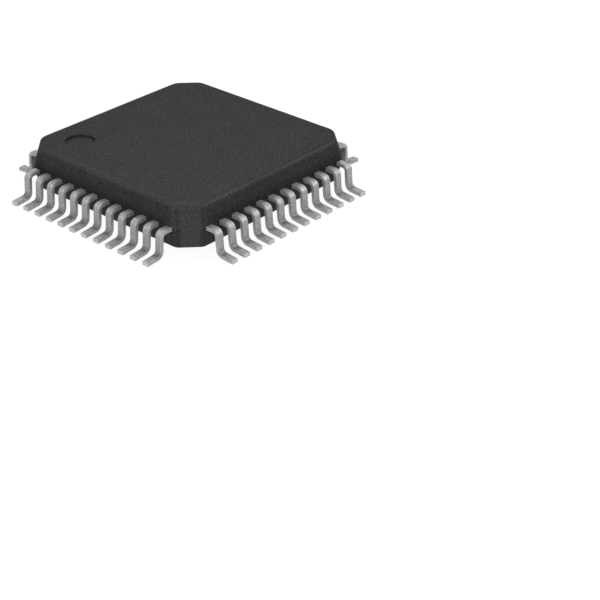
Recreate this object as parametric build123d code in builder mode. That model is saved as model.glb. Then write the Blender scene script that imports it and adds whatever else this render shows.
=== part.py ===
"""48-lead low-profile quad flat package, gull-wing leads on four sides.

Millimetres. +Z is up, Z = 0 is the seating plane that the lead feet stand on,
and the origin is the centre of the package on that plane.
Pin 1 is at the (-X, +Y) corner, beside the round recess in the top face, and the
pins count counter-clockwise seen from above: 1-12 down the -X side, 13-24 along
the -Y side, 25-36 up the +X side and 37-48 back along the +Y side.
"""
import os
from math import cos, radians, sin, sqrt, tan

from build123d import *

os.makedirs("parts", exist_ok=True)

# ---------------------------------------------------------------- dimensions
PINS_PER_SIDE = 12
PITCH = 0.50                 # lead pitch

# leads: stamped strip, bent to a gull wing outside and fanned in flat inside
LEAD_W = 0.22                # strip width
LEAD_T = 0.12                # strip thickness, plating included
SPAN_HALF = 4.488            # centre to the outermost point of a foot
LEAD_Z = 0.785               # centre height of the strip where it leaves the body
BEND1_R = 0.140              # centreline radius of the shoulder bend
BEND2_R = 0.175              # centreline radius of the heel bend
LEG_ANGLE = 86.0             # leg, degrees below the horizontal
FOOT_ANGLE = 4.8             # foot, degrees below the horizontal
FOOT_L = 0.398               # straight part of the foot
EDGE_R = 0.014               # edge rounding left by stamping and plating
ROOT_S = 3.44                # inside the body: where the flat finger starts
FAN_S = 3.28                 # where the finger turns towards its tip
TIP_S = 2.20                 # finger tips lie on a square this far from the centre
TIP_RATIO = 0.62             # tip pitch as a share of the outer pitch
TIP_W = 0.13                 # finger width at the tip

# moulded body: chamfered square, drafted up and down from the parting line
PART_Z = LEAD_Z              # parting line runs along the middle of the leads
TOP_Z = 1.465                # top face
BOT_Z = 0.125                # bottom face, clear of the seating plane
# half width, chamfer leg and the rounding beside the chamfer, at each level
PART_HALF, PART_CH, PART_R = 3.540, 0.614, 0.42   # parting line
TOP_HALF, TOP_CH, TOP_R = 3.383, 0.618, 0.34      # top face, before its rim is rounded
BOT_HALF, BOT_CH, BOT_R = 3.390, 0.557, 0.28      # bottom face, the same
TOP_RIM_R = 0.170            # rounding of the top rim
BOT_RIM_R = 0.100            # rounding of the bottom rim
GROOVE_S = 0.325             # fine grooves down each chamfer, this far from its middle
GROOVE_W, GROOVE_D = 0.085, 0.022
DIMPLE_X, DIMPLE_Y = -2.25, 2.25   # pin-1 recess
DIMPLE_R, DIMPLE_D = 0.45, 0.055
DIMPLE_DRAFT = 8.0           # wall slope of the recess, degrees from vertical

# die paddle and its four tie bars: one stamped piece, set down below the leads
PAD_HALF = 1.80
PAD_DOWNSET = 0.25
TIE_W = 0.20
TIE_IN, TIE_LOW, TIE_HIGH, TIE_OUT = 2.30, 2.72, 2.97, 4.40  # radii on the diagonal

# chip, its adhesive and its wires
DIE_HALF = 1.50
DIE_T = 0.28
GLUE_HALF = 1.54
GLUE_T = 0.02
WIRE_R = 0.0125
BALL_R, BALL_T = 0.034, 0.018
BOND_S = 1.42                # bond pads, distance from the centre
BOND_PITCH = 0.22
LOOP_H = 0.16                # wire top above the chip
STITCH_S = TIP_S + 0.09      # end of the wire on the finger

LEAD_TOP = LEAD_Z + LEAD_T / 2
LEAD_BOT = LEAD_Z - LEAD_T / 2
PAD_TOP = LEAD_TOP - PAD_DOWNSET
PAD_BOT = LEAD_BOT - PAD_DOWNSET
GLUE_TOP = PAD_TOP + GLUE_T
DIE_TOP = GLUE_TOP + DIE_T

SIDE_NAMES = ["01_12", "13_24", "25_36", "37_48"]
OUTWARD = [Vector(-1, 0, 0), Vector(0, -1, 0), Vector(1, 0, 0), Vector(0, 1, 0)]
ALONG = [Vector(0, -1, 0), Vector(1, 0, 0), Vector(0, 1, 0), Vector(-1, 0, 0)]
UP = Vector(0, 0, 1)


def across(i):
    """Distance of lead i of a side from the middle of that side."""
    return (i - (PINS_PER_SIDE - 1) / 2) * PITCH


def bond_across(i):
    return (i - (PINS_PER_SIDE - 1) / 2) * BOND_PITCH


# ------------------------------------------------------- lead centreline, s-z
_th, _ph = radians(LEG_ANGLE), radians(FOOT_ANGLE)
_tip_z = LEAD_T / 2 * cos(_ph)                    # lower corner of the tip at z = 0
_tip_s = SPAN_HALF - LEAD_T / 2 * sin(_ph)        # upper corner of the tip outermost
_drop = (LEAD_Z - _tip_z - BEND1_R * (1 - cos(_th))
         - BEND2_R * (cos(_ph) - cos(_th)) - FOOT_L * sin(_ph))
LEG_L = _drop / sin(_th)
BEND1_S = _tip_s - (BEND1_R * sin(_th) + LEG_L * cos(_th)
                    + BEND2_R * (sin(_th) - sin(_ph)) + FOOT_L * cos(_ph))
print(f"leg {LEG_L:.4f}, shoulder bend starts at {BEND1_S:.4f}")

# ------------------------------------------------------------------ the leads
leads = []
for n in range(4 * PINS_PER_SIDE):
    side, i = divmod(n, PINS_PER_SIDE)
    out, along, t = OUTWARD[side], ALONG[side], across(i)
    profile_plane = Plane(origin=along * t, x_dir=out, z_dir=out.cross(UP))
    finger_plane = Plane(origin=UP * LEAD_BOT, x_dir=out, z_dir=UP)
    t_tip = t * TIP_RATIO

    with BuildPart() as gull_wing:
        with BuildSketch(profile_plane):
            with BuildLine():
                u0 = Line((ROOT_S, LEAD_TOP), (BEND1_S, LEAD_TOP))
                u1 = JernArc(u0 @ 1, (1, 0), BEND1_R + LEAD_T / 2, -LEG_ANGLE)
                u2 = PolarLine(u1 @ 1, LEG_L, direction=u1 % 1)
                u3 = JernArc(u2 @ 1, u2 % 1, BEND2_R - LEAD_T / 2, LEG_ANGLE - FOOT_ANGLE)
                u4 = PolarLine(u3 @ 1, FOOT_L, direction=u3 % 1)
                d0 = Line((ROOT_S, LEAD_BOT), (BEND1_S, LEAD_BOT))
                d1 = JernArc(d0 @ 1, (1, 0), BEND1_R - LEAD_T / 2, -LEG_ANGLE)
                d2 = PolarLine(d1 @ 1, LEG_L, direction=d1 % 1)
                d3 = JernArc(d2 @ 1, d2 % 1, BEND2_R + LEAD_T / 2, LEG_ANGLE - FOOT_ANGLE)
                d4 = PolarLine(d3 @ 1, FOOT_L, direction=d3 % 1)
                Line(u4 @ 1, d4 @ 1)
                Line(u0 @ 0, d0 @ 0)
            make_face()
        extrude(amount=LEAD_W / 2, both=True)
        # the long edges of the strip, but not those of its two ends
        cross_dir = out.cross(UP)
        long_edges = [e for e in gull_wing.edges()
                      if abs((e @ 1 - e @ 0).dot(cross_dir)) < 1e-6
                      and not ((e @ 0).dot(out) < ROOT_S + 1e-4 and (e @ 1).dot(out) < ROOT_S + 1e-4)
                      and not ((e @ 0).dot(out) > SPAN_HALF - 0.02 and (e @ 1).dot(out) > SPAN_HALF - 0.02)]
        fillet(long_edges, EDGE_R)

    with BuildPart() as lead:
        add(gull_wing.part)
        with BuildSketch(finger_plane):
            with BuildLine():
                Polyline(
                    (ROOT_S, t - LEAD_W / 2), (FAN_S, t - LEAD_W / 2),
                    (TIP_S, t_tip - TIP_W / 2), (TIP_S, t_tip + TIP_W / 2),
                    (FAN_S, t + LEAD_W / 2), (ROOT_S, t + LEAD_W / 2),
                    close=True)
            make_face()
        extrude(amount=LEAD_T)
    lead.part.label = f"lead_{n + 1:02d}"
    leads.append(lead.part)

# ---------------------------------------------- die paddle with four tie bars
with BuildPart() as die_pad:
    with BuildSketch(Plane.XY.offset(PAD_BOT)):
        Rectangle(2 * PAD_HALF, 2 * PAD_HALF)
    extrude(amount=LEAD_T)
    for k in range(4):
        a = radians(45 + 90 * k)
        diagonal = Vector(cos(a), sin(a), 0)
        with BuildSketch(Plane(origin=(0, 0, 0), x_dir=diagonal, z_dir=diagonal.cross(UP))):
            with BuildLine():
                Polyline(
                    (TIE_IN, PAD_BOT), (TIE_LOW, PAD_BOT), (TIE_HIGH, LEAD_BOT),
                    (TIE_OUT, LEAD_BOT), (TIE_OUT, LEAD_TOP), (TIE_HIGH - 0.05, LEAD_TOP),
                    (TIE_LOW - 0.05, PAD_TOP), (TIE_IN, PAD_TOP), close=True)
            make_face()
        extrude(amount=TIE_W / 2, both=True)
die_pad.part.label = "die_pad"

# --------------------------------------------------------- adhesive and chip
with BuildPart() as die_attach:
    with BuildSketch(Plane.XY.offset(PAD_TOP)):
        RectangleRounded(2 * GLUE_HALF, 2 * GLUE_HALF, 0.06)
    extrude(amount=GLUE_T)
die_attach.part.label = "die_attach"

with BuildPart() as die:
    with BuildSketch(Plane.XY.offset(GLUE_TOP)):
        Rectangle(2 * DIE_HALF, 2 * DIE_HALF)
    extrude(amount=DIE_T)
die.part.label = "die"

# ------------------------------------------------------- bond wires, by side
# each wire: a squashed ball on the chip, a rise, a loop, and a run down to the
# finger, where its end lies flat on the metal with its underside pressed flat
wire_groups = []
for side in range(4):
    out, along = OUTWARD[side], ALONG[side]
    with BuildPart() as wires:
        for i in range(PINS_PER_SIDE):
            start = out * BOND_S + along * bond_across(i)
            end = out * STITCH_S + along * (across(i) * (TIP_RATIO + 0.02))
            run = end - start
            reach = run.length
            heading = run.normalized()
            stitch_z = LEAD_TOP + WIRE_R * 0.55
            top_z = DIE_TOP + LOOP_H
            p0 = start + UP * (DIE_TOP + BALL_T / 2)
            p1 = start + UP * top_z
            p2 = start + heading * (reach * 0.38) + UP * (top_z - 0.005)
            p3 = start + heading * (reach - 0.11) + UP * stitch_z
            p4 = end + UP * stitch_z
            with BuildLine() as path:
                FilletPolyline(p0, p1, p2, p3, p4, radius=[0.035, 0.10, 0.05])
            with BuildSketch(Plane(origin=p0, z_dir=UP)):
                Circle(WIRE_R)
            sweep(path=path.wires()[0])
            with BuildSketch(Plane(origin=start + UP * DIE_TOP, z_dir=UP)):
                Circle(BALL_R * 0.9)
            extrude(amount=BALL_T, taper=8)
        # press the wire ends flat on the fingers
        split(bisect_by=Plane.XY.offset(LEAD_TOP), keep=Keep.TOP)
    wires.part.label = f"bond_wires_{SIDE_NAMES[side]}"
    wire_groups.append(wires.part)


# -------------------------------------------------------------- moulded body
def chamfered_square(half, leg, z, radius):
    """Octagonal outline at height z, its eight corners rounded."""
    with BuildSketch(Plane.XY.offset(z)) as outline:
        Polygon(
            (-half + leg, -half), (half - leg, -half), (half, -half + leg), (half, half - leg),
            (half - leg, half), (-half + leg, half), (-half, half - leg), (-half, -half + leg),
            align=None)
        fillet(outline.vertices(), radius)
    return outline.sketch


def level(direction, z):
    """Distance of a chamfer face from the axis at height z, and z: direction is 1
    above the parting line, -1 below it and 0 on it."""
    at_parting = PART_HALF * sqrt(2) - PART_CH / sqrt(2)
    if direction == 0:
        return at_parting, z
    half, leg, end_z = (TOP_HALF, TOP_CH, TOP_Z) if direction > 0 else (BOT_HALF, BOT_CH, BOT_Z)
    at_end = half * sqrt(2) - leg / sqrt(2)
    share = (z - PART_Z) / (end_z - PART_Z)
    return at_parting + share * (at_end - at_parting), z


def groove_section(a, offset, distance, z):
    """Triangle that cuts one groove at height z, on the chamfer facing the angle a."""
    outside = 0.02
    half = GROOVE_W / 2 * (1 + outside / GROOVE_D)
    facing, beside = Vector(cos(a), sin(a), 0), Vector(-sin(a), cos(a), 0)
    points = [facing * (distance + outside) + beside * (offset - half),
              facing * (distance + outside) + beside * (offset + half),
              facing * (distance - GROOVE_D) + beside * offset]
    with BuildSketch(Plane.XY.offset(z)) as section:
        Polygon(*[(p.X, p.Y) for p in points], align=None)
    return section.sketch


with BuildPart() as mould_body:
    top_outline = chamfered_square(TOP_HALF, TOP_CH, TOP_Z, TOP_R)
    parting_outline = chamfered_square(PART_HALF, PART_CH, PART_Z, PART_R)
    bottom_outline = chamfered_square(BOT_HALF, BOT_CH, BOT_Z, BOT_R)
    loft([parting_outline, top_outline], ruled=True)
    loft([bottom_outline, parting_outline], ruled=True)
    fillet(mould_body.faces().sort_by(Axis.Z)[-1].edges(), TOP_RIM_R)
    fillet(mould_body.faces().sort_by(Axis.Z)[0].edges(), BOT_RIM_R)
    # witness lines of the cavity's corner inserts: a V groove on each side of
    # every chamfer, from the top face to the bottom face
    for k in range(4):
        a = radians(45 + 90 * k)
        for offset in (-GROOVE_S, GROOVE_S):
            high = groove_section(a, offset, *level(1, PART_Z + 1.2 * (TOP_Z - PART_Z)))
            middle = groove_section(a, offset, *level(0, PART_Z))
            low = groove_section(a, offset, *level(-1, PART_Z + 1.2 * (BOT_Z - PART_Z)))
            loft([middle, high], ruled=True, mode=Mode.SUBTRACT)
            loft([low, middle], ruled=True, mode=Mode.SUBTRACT)
    # pin-1 recess: shallow and round, with a steep wall
    with BuildSketch(Plane.XY.offset(TOP_Z)):
        with Locations((DIMPLE_X, DIMPLE_Y)):
            Circle(DIMPLE_R)
    extrude(amount=-DIMPLE_D, taper=DIMPLE_DRAFT, mode=Mode.SUBTRACT)
    outer_volume = mould_body.part.volume
    # the compound flows round everything it holds
    add(leads, mode=Mode.SUBTRACT)
    add(die_pad.part, mode=Mode.SUBTRACT)
    add([die_attach.part, die.part], mode=Mode.SUBTRACT)
    add(wire_groups, mode=Mode.SUBTRACT)
mould_body.part.label = "mould_body"

# -------------------------------------------------------------------- output
pieces = leads + [die_pad.part, die_attach.part, die.part] + wire_groups + [mould_body.part]
for piece in pieces:
    export_step(piece, f"parts/{piece.label}.step")
print(f"{len(pieces)} pieces, body {mould_body.part.volume:.4f} mm3 of an outer {outer_volume:.4f} mm3")
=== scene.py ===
"""A 48-lead quad flat package on a glowing white table, in metres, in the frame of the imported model."""

import math

import bpy
from mathutils import Matrix, Vector

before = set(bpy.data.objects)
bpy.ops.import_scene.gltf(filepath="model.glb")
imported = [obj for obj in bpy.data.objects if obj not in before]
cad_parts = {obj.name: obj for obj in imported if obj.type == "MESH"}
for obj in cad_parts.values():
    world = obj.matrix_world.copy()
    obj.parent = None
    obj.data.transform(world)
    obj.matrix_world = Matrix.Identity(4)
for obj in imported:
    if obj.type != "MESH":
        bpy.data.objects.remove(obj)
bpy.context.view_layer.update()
scene = bpy.context.scene
MM = 0.001


# ------------------------------------------------------------------ camera
def make_camera():
    # solved from the photograph: twelve leads a side at 0.5 mm pitch fix the scale
    rows = ((0.6620544194419961, -0.7494557452328625, 0.0001778616769716468),
            (-0.37758845528536344, -0.33375917369627234, -0.8637313079938659),
            (0.6473877540798362, 0.5717699711518924, -0.5039525731221433))
    r = Matrix(rows)                       # picture right, down and forward, as rows
    r = Matrix((r[0], -r[1], -r[2]))       # camera right, up and back
    data = bpy.data.cameras.new("camera")
    cam = bpy.data.objects.new("camera", data)
    scene.collection.objects.link(cam)
    cam.matrix_world = (Matrix.Translation(Vector((-30.00051342, -30.91862136, 20.97206787)) * MM)
                        @ r.transposed().to_4x4())
    data.sensor_width = 36.0
    data.lens = 1584.8791535274718 / 600 * 36
    data.clip_start, data.clip_end = 0.001, 10.0
    scene.camera = cam
    return cam


make_camera()


# --------------------------------------------------------------- materials
def node(nt, kind, x=0, y=0, **inputs):
    n = nt.nodes.new(kind)
    n.location = (x, y)
    for k, v in inputs.items():
        n.inputs[k.replace("_", " ")].default_value = v
    return n


def fresh(name):
    m = bpy.data.materials.new(name)
    m.use_nodes = True
    nt = m.node_tree
    nt.nodes.clear()
    out = nt.nodes.new("ShaderNodeOutputMaterial")
    bsdf = nt.nodes.new("ShaderNodeBsdfPrincipled")
    nt.links.new(bsdf.outputs["BSDF"], out.inputs["Surface"])
    coord = nt.nodes.new("ShaderNodeTexCoord")
    return m, nt, bsdf, coord


def noise(nt, coord, scale, detail=3.0, rough=0.55, kind="FBM"):
    n = nt.nodes.new("ShaderNodeTexNoise")
    n.noise_dimensions = "3D"
    n.inputs["Scale"].default_value = scale
    n.inputs["Detail"].default_value = detail
    n.inputs["Roughness"].default_value = rough
    nt.links.new(coord.outputs["Object"], n.inputs["Vector"])
    return n


def ramp(nt, source, stops):
    r = nt.nodes.new("ShaderNodeValToRGB")
    e = r.color_ramp.elements
    while len(e) < len(stops):
        e.new(0.5)
    for el, (pos, c) in zip(e, stops):
        el.position = pos
        el.color = (c, c, c, 1) if isinstance(c, (int, float)) else (*c, 1)
    nt.links.new(source, r.inputs["Fac"])
    return r


def mask_ramp(nt, value, low, high, at_low=0.0, at_high=1.0):
    n = nt.nodes.new("ShaderNodeMapRange")
    n.interpolation_type = "SMOOTHSTEP"
    n.inputs["From Min"].default_value = low
    n.inputs["From Max"].default_value = high
    n.inputs["To Min"].default_value = at_low
    n.inputs["To Max"].default_value = at_high
    nt.links.new(value, n.inputs["Value"])
    return n.outputs["Result"]


def math_node(nt, op, a, b=None):
    n = nt.nodes.new("ShaderNodeMath")
    n.operation = op
    for i, v in enumerate((a, b)):
        if v is None:
            continue
        if isinstance(v, (int, float)):
            n.inputs[i].default_value = v
        else:
            nt.links.new(v, n.inputs[i])
    return n.outputs["Value"]


def grey(nt, value):
    n = nt.nodes.new("ShaderNodeCombineColor")
    for channel in ("Red", "Green", "Blue"):
        nt.links.new(value, n.inputs[channel])
    return n.outputs["Color"]


def compound_material():
    """Black epoxy moulding compound: dull, with the fine sparkle of its filler grains. Its
    tone is set by place to match the photograph's, with light and shade painted into it:
    painted highlights round the top rim, painted light down the middle of the corner at (-X, -Y),
    painted shade along the edges beside that, on the lower half of the sides and on the other corners."""
    m, nt, bsdf, coord = fresh("moulding_compound")
    fine = noise(nt, coord, 42000.0, 2.0, 0.7)
    broad = noise(nt, coord, 1600.0, 3.0, 0.5)
    tint = ramp(nt, fine.outputs["Fac"], [(0.38, 0.0), (0.62, 0.0395)])
    cloud = ramp(nt, broad.outputs["Fac"], [(0.3, 0.93), (0.7, 1.07)])
    mul = nt.nodes.new("ShaderNodeMix")
    mul.data_type = "RGBA"
    mul.blend_type = "MULTIPLY"
    mul.inputs["Factor"].default_value = 1.0
    nt.links.new(tint.outputs["Color"], mul.inputs["A"])
    nt.links.new(cloud.outputs["Color"], mul.inputs["B"])
    # how far round the top rim a point lies: 0 where the top face ends, 0.29 mm where the
    # side begins
    xyz = nt.nodes.new("ShaderNodeSeparateXYZ")
    nt.links.new(coord.outputs["Object"], xyz.inputs["Vector"])
    ax = math_node(nt, "ABSOLUTE", xyz.outputs["X"])
    ay = math_node(nt, "ABSOLUTE", xyz.outputs["Y"])
    diagonal = math_node(nt, "MULTIPLY", math_node(nt, "ADD", ax, ay), math.sqrt(0.5))
    out = math_node(nt, "MAXIMUM", math_node(nt, "MAXIMUM", ax, ay),
                    math_node(nt, "SUBTRACT", diagonal, 0.964 * MM))
    below = math_node(nt, "SUBTRACT", 1.465 * MM, xyz.outputs["Z"])
    around = math_node(nt, "ADD", math_node(nt, "SUBTRACT", out, 3.253 * MM), below)
    on_corner = mask_ramp(nt, diagonal, 4.20 * MM, 4.30 * MM)
    total = math_node(nt, "ADD", xyz.outputs["X"], xyz.outputs["Y"])
    # painted highlight: a lighter band round the top rim, where its rounded edge catches the light
    rim = math_node(nt, "MULTIPLY", mask_ramp(nt, around, 0.0, 0.09 * MM),
                    mask_ramp(nt, around, 0.16 * MM, 0.34 * MM, 1.0, 0.0))
    rim = math_node(nt, "MULTIPLY", rim, mask_ramp(nt, on_corner, 0.0, 1.0, 0.85, 1.05))
    # painted highlight: the rim is a little lighter towards pin 1 than away from it, and a thin
    #     painted highlight line runs along its upper edge there and along its lower half on the other side
    across = math_node(nt, "SUBTRACT", xyz.outputs["Y"], xyz.outputs["X"])
    rim = math_node(nt, "MULTIPLY", rim, mask_ramp(nt, across, -4.0 * MM, 4.0 * MM, 0.62, 1.05))
    upper = math_node(nt, "MULTIPLY", mask_ramp(nt, around, -0.035 * MM, 0.01 * MM),
                      mask_ramp(nt, around, 0.05 * MM, 0.10 * MM, 1.0, 0.0))
    upper = math_node(nt, "MULTIPLY", upper, mask_ramp(nt, across, -0.6 * MM, 0.6 * MM, 0.0, 0.5))
    lower = math_node(nt, "MULTIPLY", mask_ramp(nt, around, 0.09 * MM, 0.15 * MM),
                      mask_ramp(nt, around, 0.18 * MM, 0.24 * MM, 1.0, 0.0))
    lower = math_node(nt, "MULTIPLY", lower, mask_ramp(nt, across, -0.6 * MM, 0.6 * MM, 0.45, 0.0))
    lines = math_node(nt, "MULTIPLY", math_node(nt, "ADD", upper, lower),
                     mask_ramp(nt, on_corner, 0.0, 1.0, 1.0, 0.55))
    rim = math_node(nt, "ADD", rim, lines)
    # on the corners: distance from the middle of the chamfer, along it
    along = math_node(nt, "MULTIPLY", math_node(nt, "SUBTRACT", ay, ax), math.sqrt(0.5))
    along = math_node(nt, "ABSOLUTE", math_node(nt, "SUBTRACT", along, 0.04 * MM))
    corner = math_node(nt, "MULTIPLY", on_corner, mask_ramp(nt, below, 0.03 * MM, 0.13 * MM))
    # painted light: a lighter band down the middle of the corner, more so towards its foot
    painted_corner_light = math_node(nt, "MULTIPLY", corner, mask_ramp(nt, along, 0.22 * MM, 0.34 * MM, 0.42, 0.0))
    painted_corner_light = math_node(nt, "MULTIPLY", painted_corner_light, mask_ramp(nt, below, 0.2 * MM, 1.1 * MM, 0.80, 1.25))
    # painted light only on the corner at (-X, -Y); the others are as dark as the sides
    other = mask_ramp(nt, total, -5.6 * MM, -4.6 * MM)
    painted_corner_light = math_node(nt, "MULTIPLY", painted_corner_light, math_node(nt, "SUBTRACT", 1.0, other))
    # painted shade: a dimmer line along each edge of that corner
    line = math_node(nt, "MULTIPLY", corner,
                     mask_ramp(nt, math_node(nt, "ABSOLUTE", math_node(nt, "SUBTRACT", along, 0.36 * MM)),
                               0.01 * MM, 0.05 * MM, 1.0, 0.0))
    # painted shade on the sides, near the leads and below them
    side = math_node(nt, "MAXIMUM", mask_ramp(nt, diagonal, 4.20 * MM, 4.36 * MM, 1.0, 0.0), other)
    side = math_node(nt, "MULTIPLY", side, mask_ramp(nt, out, 3.40 * MM, 3.42 * MM))
    low = math_node(nt, "MULTIPLY", side, mask_ramp(nt, xyz.outputs["Z"], 0.80 * MM, 1.25 * MM, 1.0, 0.0))
    # a slight drift of the tone over the top face, lightest towards (-X, -Y)
    drift = mask_ramp(nt, total, -9.0 * MM, 9.0 * MM, 0.28, -0.28)
    drift = math_node(nt, "MULTIPLY", drift, mask_ramp(nt, below, 0.02 * MM, 0.12 * MM, 1.0, 0.0))
    # painted shade: dimmer along the corner's edges, on the lower sides and on the other corners below the rim
    painted_shade = math_node(nt, "MULTIPLY", mask_ramp(nt, line, 0.0, 1.0, 1.0, 0.80),
                       mask_ramp(nt, low, 0.0, 1.0, 1.0, 0.62))
    painted_shade = math_node(nt, "MULTIPLY", painted_shade,
                       mask_ramp(nt, math_node(nt, "MULTIPLY", math_node(nt, "MULTIPLY", on_corner, other),
                                               mask_ramp(nt, below, 0.10 * MM, 0.30 * MM)),
                                 0.0, 1.0, 1.0, 0.78))
    lift = math_node(nt, "ADD", math_node(nt, "ADD", rim, painted_corner_light), drift)
    lift = math_node(nt, "MULTIPLY", lift, 0.019)
    mul2 = nt.nodes.new("ShaderNodeMix")
    mul2.data_type = "RGBA"
    mul2.blend_type = "MULTIPLY"
    mul2.inputs["Factor"].default_value = 1.0
    nt.links.new(mul.outputs["Result"], mul2.inputs["A"])
    nt.links.new(grey(nt, painted_shade), mul2.inputs["B"])
    add = nt.nodes.new("ShaderNodeMix")
    add.data_type = "RGBA"
    add.blend_type = "ADD"
    add.inputs["Factor"].default_value = 1.0
    nt.links.new(mul2.outputs["Result"], add.inputs["A"])
    nt.links.new(grey(nt, lift), add.inputs["B"])
    nt.links.new(add.outputs["Result"], bsdf.inputs["Base Color"])
    rough = ramp(nt, broad.outputs["Fac"], [(0.3, 0.75), (0.7, 0.85)])
    nt.links.new(rough.outputs["Color"], bsdf.inputs["Roughness"])
    # the dull skin of the moulding: a quarter of the gloss of a clear coat, no more
    bsdf.inputs["Specular IOR Level"].default_value = 0.0
    bsdf.inputs["Coat Weight"].default_value = 0.25
    bsdf.inputs["Coat Roughness"].default_value = 0.45
    bsdf.inputs["Coat IOR"].default_value = 1.5
    bump = nt.nodes.new("ShaderNodeBump")
    bump.inputs["Strength"].default_value = 0.5
    bump.inputs["Distance"].default_value = 6e-6
    nt.links.new(fine.outputs["Fac"], bump.inputs["Height"])
    nt.links.new(bump.outputs["Normal"], bsdf.inputs["Normal"])
    nt.links.new(bump.outputs["Normal"], bsdf.inputs["Coat Normal"])
    return m


def tin_material():
    """Matt tin plate on the leads: grainy. Its tone is set by place to match the photograph's,
    with light and shade painted into it: painted light on the cut ends and a painted highlight
    outside the shoulder, painted shade in the inner bend above the foot and inside the legs at the back."""
    m, nt, bsdf, coord = fresh("tin_plated_lead")
    grain = noise(nt, coord, 24000.0, 2.0, 0.65)
    patch = noise(nt, coord, 3500.0, 3.0, 0.5)
    tint = ramp(nt, grain.outputs["Fac"], [(0.30, 0.235), (0.70, 0.425)])
    xyz = nt.nodes.new("ShaderNodeSeparateXYZ")
    nt.links.new(coord.outputs["Object"], xyz.inputs["Vector"])
    out = math_node(nt, "MAXIMUM", math_node(nt, "ABSOLUTE", xyz.outputs["X"]),
                    math_node(nt, "ABSOLUTE", xyz.outputs["Y"]))
    # painted light: the cut ends lighter, standing in for the light they catch from the white table below
    painted_cut_end_light = mask_ramp(nt, out, 4.445 * MM, 4.478 * MM, 1.0, 1.39)
    # painted shade in the inner bend: a soft spot round its centre line, out 4.05 mm and 0.18 mm up
    du = math_node(nt, "DIVIDE", math_node(nt, "SUBTRACT", out, 4.05 * MM), 0.14 * MM)
    dv = math_node(nt, "DIVIDE", math_node(nt, "SUBTRACT", xyz.outputs["Z"], 0.18 * MM), 0.10 * MM)
    dist = math_node(nt, "SQRT", math_node(nt, "ADD", math_node(nt, "MULTIPLY", du, du),
                                           math_node(nt, "MULTIPLY", dv, dv)))
    painted_heel_shade = mask_ramp(nt, dist, 0.2, 1.3, 0.69, 1.0)
    # painted highlight on the outside of the shoulder bend: brighter
    bu = math_node(nt, "DIVIDE", math_node(nt, "SUBTRACT", out, 3.90 * MM), 0.10 * MM)
    bv = math_node(nt, "DIVIDE", math_node(nt, "SUBTRACT", xyz.outputs["Z"], 0.795 * MM), 0.10 * MM)
    reach = math_node(nt, "SQRT", math_node(nt, "ADD", math_node(nt, "MULTIPLY", bu, bu),
                                            math_node(nt, "MULTIPLY", bv, bv)))
    shoulder = mask_ramp(nt, reach, 0.2, 1.3, 1.38, 1.0)
    # painted shade on the inside of the legs along +X and +Y, which face the dark body
    far = math_node(nt, "MAXIMUM", xyz.outputs["X"], xyz.outputs["Y"])
    inside = math_node(nt, "MULTIPLY", mask_ramp(nt, far, 3.79 * MM, 3.80 * MM),
                       mask_ramp(nt, far, 3.870 * MM, 3.890 * MM, 1.0, 0.0))
    inside = math_node(nt, "MULTIPLY", inside, mask_ramp(nt, xyz.outputs["Z"], 0.69 * MM, 0.73 * MM, 1.0, 0.0))
    shade = math_node(nt, "MULTIPLY", math_node(nt, "MULTIPLY", painted_cut_end_light, painted_heel_shade), shoulder)
    shade = math_node(nt, "MULTIPLY", shade, mask_ramp(nt, inside, 0.0, 1.0, 1.0, 0.50))
    mul = nt.nodes.new("ShaderNodeMix")
    mul.data_type = "RGBA"
    mul.blend_type = "MULTIPLY"
    mul.inputs["Factor"].default_value = 1.0
    nt.links.new(tint.outputs["Color"], mul.inputs["A"])
    nt.links.new(grey(nt, shade), mul.inputs["B"])
    nt.links.new(mul.outputs["Result"], bsdf.inputs["Base Color"])
    bsdf.inputs["Metallic"].default_value = 0.79
    rough = ramp(nt, patch.outputs["Fac"], [(0.3, 0.50), (0.7, 0.60)])
    nt.links.new(rough.outputs["Color"], bsdf.inputs["Roughness"])
    bump = nt.nodes.new("ShaderNodeBump")
    bump.inputs["Strength"].default_value = 0.4
    bump.inputs["Distance"].default_value = 5e-6
    nt.links.new(grain.outputs["Fac"], bump.inputs["Height"])
    nt.links.new(bump.outputs["Normal"], bsdf.inputs["Normal"])
    return m


def plain_metal(name, dark, light, rough, scale):
    m, nt, bsdf, coord = fresh(name)
    grain = noise(nt, coord, scale, 3.0, 0.5)
    tint = ramp(nt, grain.outputs["Fac"], [(0.3, dark), (0.7, light)])
    nt.links.new(tint.outputs["Color"], bsdf.inputs["Base Color"])
    bsdf.inputs["Metallic"].default_value = 1.0
    r = ramp(nt, grain.outputs["Fac"], [(0.3, rough - 0.05), (0.7, rough + 0.05)])
    nt.links.new(r.outputs["Color"], bsdf.inputs["Roughness"])
    return m


MATERIALS = {
    "mould_body": compound_material(),
    "lead": tin_material(),
    "die_pad": plain_metal("copper_pad", (0.55, 0.28, 0.18), (0.66, 0.36, 0.24), 0.35, 9000.0),
    "die_attach": plain_metal("die_adhesive", (0.30, 0.30, 0.29), (0.42, 0.42, 0.40), 0.6, 15000.0),
    "die": plain_metal("silicon", (0.10, 0.11, 0.14), (0.16, 0.17, 0.20), 0.15, 4000.0),
    "bond_wires": plain_metal("gold_wire", (0.85, 0.58, 0.20), (0.95, 0.70, 0.30), 0.2, 30000.0),
}
for name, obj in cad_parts.items():
    key = next(k for k in sorted(MATERIALS, key=len, reverse=True) if name.startswith(k))
    obj.data.materials.clear()
    obj.data.materials.append(MATERIALS[key])


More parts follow.
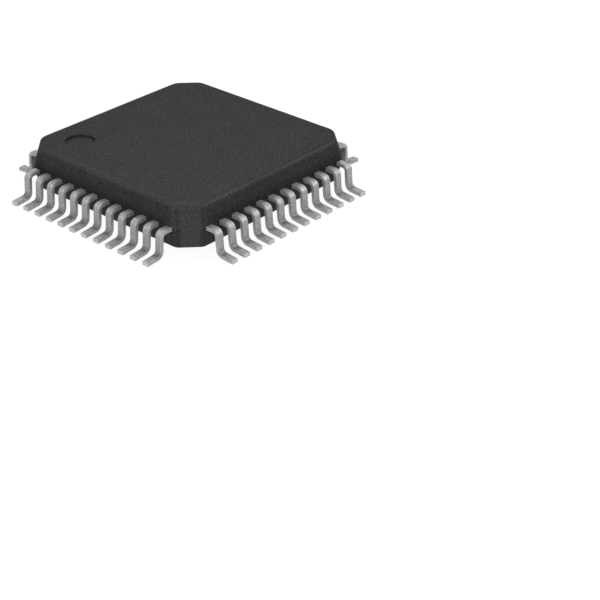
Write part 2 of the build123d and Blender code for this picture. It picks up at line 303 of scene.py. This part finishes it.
# ------------------------------------------------------------ table, lights
def make_table():
    me = bpy.data.meshes.new("table_top")
    s = 0.6
    me.from_pydata([(-s, -s, 0), (s, -s, 0), (s, s, 0), (-s, s, 0)], [], [(0, 1, 2, 3)])
    ob = bpy.data.objects.new("table_top", me)
    ob.location.z = -2e-6
    scene.collection.objects.link(ob)
    m = bpy.data.materials.new("white_glass")
    m.use_nodes = True
    nt = m.node_tree
    bsdf = nt.nodes["Principled BSDF"]
    bsdf.inputs["Base Color"].default_value = (0.10, 0.10, 0.10, 1)
    bsdf.inputs["Roughness"].default_value = 1.0
    bsdf.inputs["Specular IOR Level"].default_value = 0.0
    bsdf.inputs["Emission Color"].default_value = (1, 1, 1, 1)
    bsdf.inputs["Emission Strength"].default_value = 0.94
    me.materials.append(m)


make_table()


def make_surround():
    """A white cylinder round the table, for views from low down: the camera sees it, and it
    lights nothing."""
    n, radius, height = 64, 0.5, 0.3
    ring = [(radius * math.cos(2 * math.pi * i / n), radius * math.sin(2 * math.pi * i / n)) for i in range(n)]
    verts = [(x, y, -0.01) for x, y in ring] + [(x, y, height) for x, y in ring]
    faces = [(i, (i + 1) % n, n + (i + 1) % n, n + i) for i in range(n)]
    me = bpy.data.meshes.new("surround")
    me.from_pydata(verts, [], faces)
    ob = bpy.data.objects.new("surround", me)
    scene.collection.objects.link(ob)
    m = bpy.data.materials.new("surround_white")
    m.use_nodes = True
    bsdf = m.node_tree.nodes["Principled BSDF"]
    bsdf.inputs["Base Color"].default_value = (0, 0, 0, 1)
    bsdf.inputs["Specular IOR Level"].default_value = 0.0
    bsdf.inputs["Emission Color"].default_value = (1, 1, 1, 1)
    bsdf.inputs["Emission Strength"].default_value = 1.0
    me.materials.append(m)
    ob.visible_diffuse = ob.visible_glossy = ob.visible_transmission = False
    ob.visible_volume_scatter = ob.visible_shadow = False


make_surround()

world = bpy.data.worlds.new("studio")
scene.world = world
world.use_nodes = True
wnt = world.node_tree
bg = wnt.nodes["Background"]
bg.inputs["Color"].default_value = (1, 1, 1, 1)
bg.inputs["Strength"].default_value = 0.0


def softbox(name, azimuth, elevation, strength):
    """A round soft light, 30 degrees across and far away; azimuth as in a plan view,
    anticlockwise from +X, strength in W/m2 on a surface that faces it."""
    a, e = math.radians(azimuth), math.radians(elevation)
    d = Vector((math.cos(a) * math.cos(e), math.sin(a) * math.cos(e), math.sin(e)))
    data = bpy.data.lights.new(name, "SUN")
    data.angle = math.radians(30)
    data.energy = strength
    ob = bpy.data.objects.new(name, data)
    ob.location = d * 0.1
    ob.rotation_mode = "QUATERNION"
    ob.rotation_quaternion = d.to_track_quat("Z", "Y")
    scene.collection.objects.link(ob)
    return ob


# a light tent: soft lights all round, lowest in front, higher behind
for name, azimuth, elevation, strength in (
        ("front", -134, 14, 0.87), ("front_right", -89, 14, 0.95), ("front_left", -179, 14, 1.43),
        ("back_low", 46, 14, 0.22), ("right", -44, 38, 1.12), ("right_back", 1, 38, 0.30),
        ("back", 46, 38, 0.38), ("left_back", 91, 38, 0.22), ("left", 136, 38, 0.54),
        ("back_high", 46, 62, 0.82)):
    softbox(name, azimuth, elevation, strength)

scene.view_settings.view_transform = "Standard"
scene.view_settings.look = "None"
scene.view_settings.exposure = 0.0
scene.view_settings.gamma = 1.0
